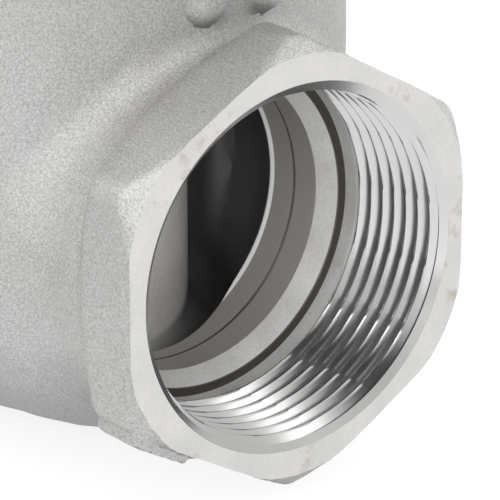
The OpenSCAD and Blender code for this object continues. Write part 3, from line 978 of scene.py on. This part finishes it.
def make_bonnet():
    clear_r = 80
    clear_h = 12
    size = BONNET_FLANGE_R + 3
    bonnet = mesh_field("bonnet", bonnet_skin, (REACH - size, -size, BONNET_LOW - 8),
                        (REACH + size, size, BONNET_TOP + 8), voxel=1.2, material=CAST)
    tool = turned("bonnet_tool", [
        (0, BONNET_LOW - clear_h), (clear_r, BONNET_LOW - clear_h), (clear_r, BONNET_LOW),
        (BONNET_BORE_R + 0.6, BONNET_LOW), (BONNET_BORE_R, BONNET_LOW + 0.6),
        (BONNET_BORE_R, BONNET_BORE_TOP), (SCREW_R + FIT, BONNET_BORE_TOP),
        (SCREW_R + FIT, BONNET_TOP - 1.2), (SCREW_R + 1.2, BONNET_TOP), (clear_r, BONNET_TOP),
        (clear_r, BONNET_TOP + clear_h), (0, BONNET_TOP + clear_h)], TURNED, edge=0.05, steps=144)
    cut(bonnet, on_stem(tool))
    hole_top = BONNET_LOW + FLANGE_T + 2
    holes = disc_tool("bolt_tool", BOLT_R + 0.4, BONNET_LOW - 2, hole_top, TURNED, steps=32)
    cut(bonnet, around_bolts(holes))
    finish_piece(smooth(bonnet), "valve_body", "cast_steel", "bonnet")


def make_bolts():
    steps = 48
    washer_low, washer_high, _ = levels("bolt_washers")
    washer = ring_profile(BOLT_R + 0.1, 7, washer_low, washer_high)
    washers = around_bolts(turned("bolt_washers", washer, POLISHED, edge=0.3, steps=steps))
    finish_piece(smooth(washers), "valve_body", "polished_steel", "bolt_washers")
    low, high, _ = levels("bonnet_bolts")
    rows = [(BOLT_R - 0.9, low)]
    rows += thread_rows(BOLT_R - THREAD_SLACK, 0.65, 1.25, low + 0.7, washer_low - 2, steps)
    rows += [(BOLT_R - 0.05, washer_high)]
    rows += hexagon_rows(BOLT_ACROSS, washer_high, high, steps)
    bolts = around_bolts(spun_rows("bonnet_bolts", rows, POLISHED, steps))
    finish_piece(smooth(bolts), "valve_body", "polished_steel", "bonnet_bolts")


# ---------------------------------------------------------------------------------------------
# Spring, its seats and the adjuster
# ---------------------------------------------------------------------------------------------
COIL_R = 17.5
WIRE_R = 2.45
COILS = 7
CLOSED_TURNS = 0.9
OPENING_TURNS = 0.4
OPEN_RISE = 3.4
SPIGOT_R = 14
SOCKET_R = 3.5
NUT_ACROSS = 30


def spring_heights(low, high, per_turn):
    """Turns and heights along the wire's axis, with both end coils closed."""
    turns = np.linspace(0, COILS, COILS * per_turn + 1)
    from_end = np.minimum(turns, COILS - turns)
    opening = OPEN_RISE * np.clip((from_end - CLOSED_TURNS) / OPENING_TURNS, 0, 1)
    rise = np.where(from_end < CLOSED_TURNS, 2 * WIRE_R, 2 * WIRE_R + opening)
    height = np.concatenate([[0], np.cumsum((rise[1:] + rise[:-1]) / 2 / per_turn)])
    tip = 0.4 * WIRE_R
    closed = height[per_turn]
    stretch = (high - low - 2 * tip - 2 * closed) / (height[-1] - 2 * closed)
    middle = np.clip(height, closed, height[-1] - closed) - closed
    height = np.minimum(height, closed) + middle * stretch + np.maximum(height - height[-1] + closed, 0)
    return turns, low + tip + height


def spring_half(name, low, high, first, last):
    """Part of the spring between two turns, with its end coil closed and ground flat."""
    turns, heights = spring_heights(low, high, per_turn=40)
    keep = (turns >= first) & (turns <= last)
    around = np.linspace(0, 2 * math.pi, 20, endpoint=False)
    radius = COIL_R + WIRE_R * np.cos(around)
    rings = []
    for turn, height in zip(turns[keep], heights[keep]):
        angle = 2 * math.pi * turn
        z = np.clip(height + WIRE_R * np.sin(around), low, high)
        rings.append(np.stack([radius * math.cos(angle), radius * math.sin(angle), z], axis=1))
    faces = tube_faces(len(rings), len(around))
    return on_stem(outward(add_object(name, np.concatenate(rings), faces, [WIRE])))


def make_spring():
    """The spring in two halves, the lower turns and the upper turns."""
    low = levels("lower_spring_seat")[1] - 4
    high = levels("upper_spring_seat")[0] + 4
    halves = (
        ("spring_lower_turns", "disc", 0, COILS / 2),
        ("spring_upper_turns", "screw_carrier", COILS / 2, COILS))
    for name, mover, first, last in halves:
        half = smooth(spring_half(name, low, high, first, last), angle=60)
        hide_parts("spring")
        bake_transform(half)


def make_spring_seats():
    low, high, radius = levels("lower_spring_seat")
    bore = levels("stem")[2] + FIT
    stem_piece("lower_spring_seat", "disc", "turned_steel", [
        (bore, low), (radius - 1, low), (radius, low + 1), (radius, high - 4), (SPIGOT_R, high - 4),
        (SPIGOT_R - 0.8, high), (bore, high)], TURNED, edge=0.35)
    low, high, radius = levels("upper_spring_seat")
    stem_piece("upper_spring_seat", "screw_carrier", "turned_steel", [
        (0, low), (SPIGOT_R - 0.8, low), (SPIGOT_R, low + 4), (radius, low + 4), (radius, high - 2),
        (radius - 2, high), (SOCKET_R, high), (SOCKET_R, high - 3), (0, high - 3)], TURNED, edge=0.3)
    low, high, radius = levels("thrust_ball")
    tilt = np.linspace(-math.pi / 2 + 0.04, math.pi / 2 - 0.04, 40)
    heights = (low + high) / 2 + radius * np.sin(tilt)
    ball = spun("thrust_ball", radius * np.cos(tilt), heights, POLISHED, steps=64, closed=False)
    finish_piece(smooth(on_stem(ball), angle=60), "screw_carrier", "polished_steel", "thrust_ball")


def make_screw(bar_z, bar_r):
    steps = 96
    low, top, head_r = levels("adjusting_screw")
    head_low = 2 * bar_z - top
    neck_r = SCREW_R - 1.3
    rows = [(0.4, low + 3), (SOCKET_R, low + 3), (SOCKET_R, low + 0.3), (SOCKET_R + 0.3, low)]
    rows += [(SCREW_R - 1.4, low)]
    rows += thread_rows(SCREW_R - THREAD_SLACK, 1.35, 2.5, low + 1.4, head_low - 1.5, steps, per_turn=10)
    rows += [(neck_r, head_low - 1), (neck_r, head_low), (head_r - 1, head_low), (head_r, head_low + 1)]
    rows += [(head_r, top - 1.6), (head_r - 0.5, top - 0.5), (head_r - 1.8, top), (0.4, top)]
    screw = spun_rows("adjusting_screw", rows, TURNED, steps)
    hole = turned("bar_tool", ring_profile(0, bar_r + 0.04, -20, 20), TURNED, edge=0.01, steps=48)
    place(hole, about("X", 90))
    cut(screw, place(hole, shift(0, 0, bar_z)))
    finish_piece(smooth(on_stem(screw)), "screw", "turned_steel", "adjusting_screw")


def make_tee_bar(bar_z, bar_r):
    bar_half = box_mm("tee_bar")[1][1]
    bar = turned("tee_bar", ring_profile(0, bar_r, -bar_half, bar_half), POLISHED, edge=0.6, steps=64)
    place(bar, about("X", 90))
    finish_piece(smooth(place(bar, shift(REACH, 0, bar_z))), "screw", "polished_steel", "tee_bar")

    knob_high = box_mm("bar_knob_right")[1]
    knob_r = knob_high[2] - bar_z
    centre = knob_high[1] - knob_r
    hole_depth = bar_half - centre
    tilt = np.linspace(math.pi / 2 - 0.03, -math.acos(min(1, bar_r / knob_r)), 48)
    radii = np.concatenate([knob_r * np.cos(tilt), [bar_r, 0.4]])
    heights = np.concatenate([knob_r * np.sin(tilt), [hole_depth, hole_depth]])
    for side, name in ((-1, "bar_knob_left"), (1, "bar_knob_right")):
        knob = spun(name, radii, heights, POLISHED, steps=64, closed=False)
        face_side(knob, side, bar_z, centre)
        finish_piece(smooth(knob, angle=50), "screw", "polished_steel", name)


def make_lock_nut():
    steps = 96
    bore = SCREW_R + FIT
    low, high, radius = levels("lock_washer")
    washer = ring_profile(bore, radius, low, high)
    stem_piece("lock_washer", "nut_carrier", "turned_steel", washer, TURNED, edge=0.5)
    low, high, _ = levels("lock_nut")
    rows = hexagon_rows(NUT_ACROSS, low, high, steps, chamfered_below=True)
    rows += [(bore + 1, high), (bore, high - 1), (bore, low + 1), (bore + 1, low)]
    nut = spun_rows("lock_nut", rows, TURNED, steps, closed=True)
    finish_piece(smooth(on_stem(nut)), "nut", "turned_steel", "lock_nut")


def make_adjuster():
    bar_low, bar_high, bar_r = levels("tee_bar")
    bar_z = (bar_low + bar_high) / 2
    make_screw(bar_z, bar_r)
    make_tee_bar(bar_z, bar_r)
    make_lock_nut()


def make_gauge_plugs():
    steps = 96
    across = 17
    washer_t = WASHER_HIGH[1] - WASHER_LOW[1]
    washer_r = (WASHER_HIGH[2] - WASHER_LOW[2]) / 2
    plug_low, plug_high = box_mm("gauge_plug_right")
    depth = BOSS_FACE - plug_low[1]
    rows = [(PLUG_R - 1.2, -depth)]
    rows += thread_rows(PLUG_R - THREAD_SLACK, 0.85, 1.34, -depth + 0.8, -0.8, steps)
    rows += [(PLUG_R - 0.3, washer_t)]
    rows += hexagon_rows(across, washer_t, plug_high[1] - BOSS_FACE, steps)
    profile = ring_profile(PLUG_R + FIT, washer_r, 0, washer_t)
    for side, word in ((-1, "left"), (1, "right")):
        plug = spun_rows("gauge_plug_" + word, rows, POLISHED, steps)
        face_side(plug, side, BOSS_Z, BOSS_FACE)
        finish_piece(smooth(plug), "valve_body", "polished_steel", "gauge_plug_" + word)
        washer = turned("gauge_washer_" + word, profile, FIBRE, edge=0.3, steps=64)
        face_side(washer, side, BOSS_Z, BOSS_FACE)
        finish_piece(smooth(washer), "valve_body", "gasket_fibre", "gauge_washer_" + word)


# ---------------------------------------------------------------------------------------------
# Camera, lights and floor
# ---------------------------------------------------------------------------------------------
SKY_LEVEL = 0.80
SKY_PATCHES = [
    ((0.91, -0.03, 0.39), 19, -0.78),
    ((0.10, -0.05, 0.99), 30, 0.50),
    ((-0.72, 0.00, 0.69), 44, 1.00),
]
PATCH_CORE = 0.35
FLOOR_Z = -32.5
FLOOR_R = 4000
FLOOR_GLOW = 0.80
KEY_POWER = 0.3
FRONT_POWER = 1.2
PORT_POWER = 0.45


def add_camera():
    """Looks at the outlet port from in front of it, turned towards -Y and raised."""
    turn = math.radians(39.35)
    rise = math.radians(21.5)
    distance = 400.0
    aim_left = 6.48
    aim_up = 2.39
    back = Vector((math.cos(turn) * math.cos(rise), -math.sin(turn) * math.cos(rise), math.sin(rise)))
    right = Vector((math.sin(turn), math.cos(turn), 0))
    up = back.cross(right)
    mouth = Vector((2 * REACH, 0, 0))
    spot = mouth + back * distance
    target = mouth - aim_left * right + aim_up * up
    camera = bpy.data.cameras.new("camera")
    camera.lens = 233
    camera.sensor_width = 36
    camera.clip_start = 0.01
    obj = bpy.data.objects.new("camera", camera)
    obj.location = spot * MM
    obj.rotation_euler = (spot - target).to_track_quat("Z", "Y").to_euler()
    bpy.context.scene.collection.objects.link(obj)
    bpy.context.scene.camera = obj


def add_light(name, place_mm, target_mm, width_mm, power):
    """A square lamp that faces a target."""
    data = bpy.data.lights.new(name, "AREA")
    data.shape = "SQUARE"
    data.size = width_mm * MM
    data.energy = power
    obj = bpy.data.objects.new(name, data)
    obj.location = Vector(place_mm) * MM
    obj.rotation_euler = (Vector(place_mm) - Vector(target_mm)).to_track_quat("Z", "Y").to_euler()
    bpy.context.scene.collection.objects.link(obj)
    return obj


def sky_patch(n, world_way, direction, width, amount, below):
    """Adds a soft bright or dark patch to the sky, centred on a direction."""
    aim = n.nodes.new("ShaderNodeVectorMath")
    aim.operation = "DOT_PRODUCT"
    aim.inputs[1].default_value = Vector(direction).normalized()
    n.links.new(world_way, aim.inputs[0])
    falloff = n.nodes.new("ShaderNodeMapRange")
    falloff.interpolation_type = "SMOOTHSTEP"
    falloff.inputs["From Min"].default_value = math.cos(math.radians(width))
    falloff.inputs["From Max"].default_value = math.cos(math.radians(width * PATCH_CORE))
    falloff.inputs["To Max"].default_value = amount
    n.links.new(aim.outputs["Value"], falloff.inputs["Value"])
    total = n.nodes.new("ShaderNodeMath")
    total.operation = "ADD"
    n.links.new(falloff.outputs["Result"], total.inputs[0])
    if isinstance(below, bpy.types.NodeSocket):
        n.links.new(below, total.inputs[1])
    else:
        total.inputs[1].default_value = below
    return total.outputs["Value"]


def add_surroundings():
    """A bright studio: soft sky with a few soft patches, three soft lamps and a white floor."""
    world = bpy.data.worlds.new("studio")
    world.use_nodes = True
    n = world.node_tree
    way = n.nodes.new("ShaderNodeTexCoord").outputs["Generated"]
    level = SKY_LEVEL
    for direction, width, amount in SKY_PATCHES:
        level = sky_patch(n, way, direction, width, amount, level)
    background = n.nodes["Background"]
    background.inputs["Color"].default_value = (1.0, 0.995, 0.98, 1)
    n.links.new(level, background.inputs["Strength"])
    bpy.context.scene.world = world
    bpy.context.scene.view_settings.view_transform = "Standard"

    pale = Nodes("pale_floor")
    pale.set(Base_Color=(0.3, 0.3, 0.3, 1), Roughness=0.9)
    pale.set(Emission_Color=(1, 1, 1, 1), Emission_Strength=FLOOR_GLOW)
    floor = disc_tool("floor", FLOOR_R, FLOOR_Z - 1, FLOOR_Z, pale.material)
    valve = (90, 0, 0)
    add_light("key", (770, 448, 494), valve, 270, KEY_POWER)
    add_light("front", (500, -560, 330), valve, 350, FRONT_POWER)
    inside = add_light("into_port", (440, -150, 150), (64, 4, 0), 120, PORT_POWER)
    inside.visible_glossy = False


add_camera()
make_body()
make_seat()
make_disc()
make_stem()
make_guide()
make_bonnet()
make_bolts()
make_spring()
make_spring_seats()
make_adjuster()
make_gauge_plugs()
add_surroundings()
